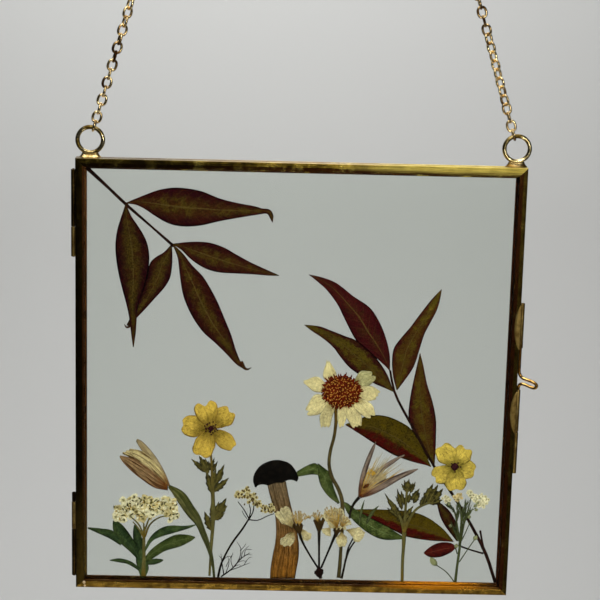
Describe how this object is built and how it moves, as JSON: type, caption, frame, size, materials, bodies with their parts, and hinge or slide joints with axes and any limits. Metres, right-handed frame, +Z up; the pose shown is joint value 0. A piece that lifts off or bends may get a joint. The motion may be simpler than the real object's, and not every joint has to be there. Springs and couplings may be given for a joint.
{
  "type": "pressed flower frame",
  "caption": "Square hanging brass frame of two hinged glazed leaves with pressed leaves, flowers and a mushroom between the panes, a side slide bolt, soldered rings and chain.",
  "frame": {"origin": "the point midway between the two chain end rings, which the frame hangs from", "axes": "+Z up, +X to the right seen from the front, the front leaf faces -Y"},
  "size_m": [0.2147, 0.008, 0.2929],
  "materials": {
    "brass": "antique, dark",
    "bright_brass": "antique, worn bright",
    "pane": "clear",
    "brown_stem": "dry",
    "olive_leaf": "dry pressed leaf, maroon edge",
    "red_leaf": "dry pressed leaf",
    "green_leaf": "dry pressed leaf",
    "cream_petal": "dry pressed petal",
    "yellow_petal": "dry pressed petal",
    "daisy_disc": "dry, granular",
    "brown_lily": "dry pressed petal",
    "mushroom_cap": "dry, matt",
    "mushroom_stalk": "dry, fibrous",
    "straw": "dry"
  },
  "bodies": {
    "back_leaf": {"back_bar_top": "brass", "back_bar_bottom": "brass", "back_bar_left": "brass", "back_bar_right": "brass", "back_pane": "pane", "hinge_upper_back_tube": "brass", "hinge_upper_pin": "bright_brass", "hinge_lower_back_tube": "brass", "hinge_lower_pin": "bright_brass", "latch_keeper": "brass", "ring_left": "bright_brass", "ring_right": "bright_brass", "ring_saddle_left": "bright_brass", "ring_saddle_right": "bright_brass", "chain_left": "bright_brass", "chain_right": "bright_brass", "chain_end_ring_left": "bright_brass", "chain_end_ring_right": "bright_brass", "compound_leaf_left_stem": "brown_stem", "compound_leaf_left_leaflet_1": "olive_leaf", "compound_leaf_left_leaflet_2": "olive_leaf", "compound_leaf_left_leaflet_3": "olive_leaf", "compound_leaf_left_leaflet_4": "olive_leaf", "compound_leaf_left_leaflet_5": "olive_leaf", "compound_leaf_right_stem": "brown_stem", "compound_leaf_right_leaflet_1": "olive_leaf", "compound_leaf_right_leaflet_2": "olive_leaf", "compound_leaf_right_leaflet_3": "olive_leaf", "compound_leaf_right_leaflet_4": "olive_leaf", "compound_leaf_right_leaflet_5": "red_leaf", "compound_leaf_right_leaflet_6": "red_leaf", "compound_leaf_right_leaflet_7": "olive_leaf", "compound_leaf_right_leaflet_8": "red_leaf", "mushroom_cap": "mushroom_cap", "mushroom_stalk": "mushroom_stalk", "daisy_rays": "cream_petal", "daisy_disc": "daisy_disc", "daisy_stem": "green_leaf", "daisy_leaf_upper": "green_leaf", "daisy_leaf_lower": "green_leaf", "yellow_flower_left": "yellow_petal", "yellow_flower_left_stem": "green_leaf", "yellow_flower_right": "yellow_petal", "yellow_flower_right_sprig": "green_leaf", "lily_bud": "brown_lily", "blossom_spray": "cream_petal", "umbel_sprig": "straw", "white_cluster_sprig": "cream_petal", "striped_flower": "brown_lily", "small_white_sprig": "cream_petal"},
    "front_leaf": {"front_bar_top": "brass", "front_bar_bottom": "brass", "front_bar_left": "brass", "front_bar_right": "brass", "front_pane": "pane", "hinge_upper_front_tube": "bright_brass", "hinge_lower_front_tube": "bright_brass", "latch_upper_guide": "bright_brass", "latch_lower_guide": "bright_brass"},
    "bolt": {"latch_bolt": "bright_brass"}
  },
  "joints": [
    {"name": "door_hinge", "type": "hinge", "parent": "back_leaf", "child": "front_leaf", "pos_m": [-0.1026, -0.00185, -0.186], "axis": [0, 0, -1], "range_deg": [0, 180]},
    {"name": "bolt_slide", "type": "slide", "parent": "front_leaf", "child": "bolt", "axis": [0, 0, 1], "range_m": [0, 0.011]}
  ]
}
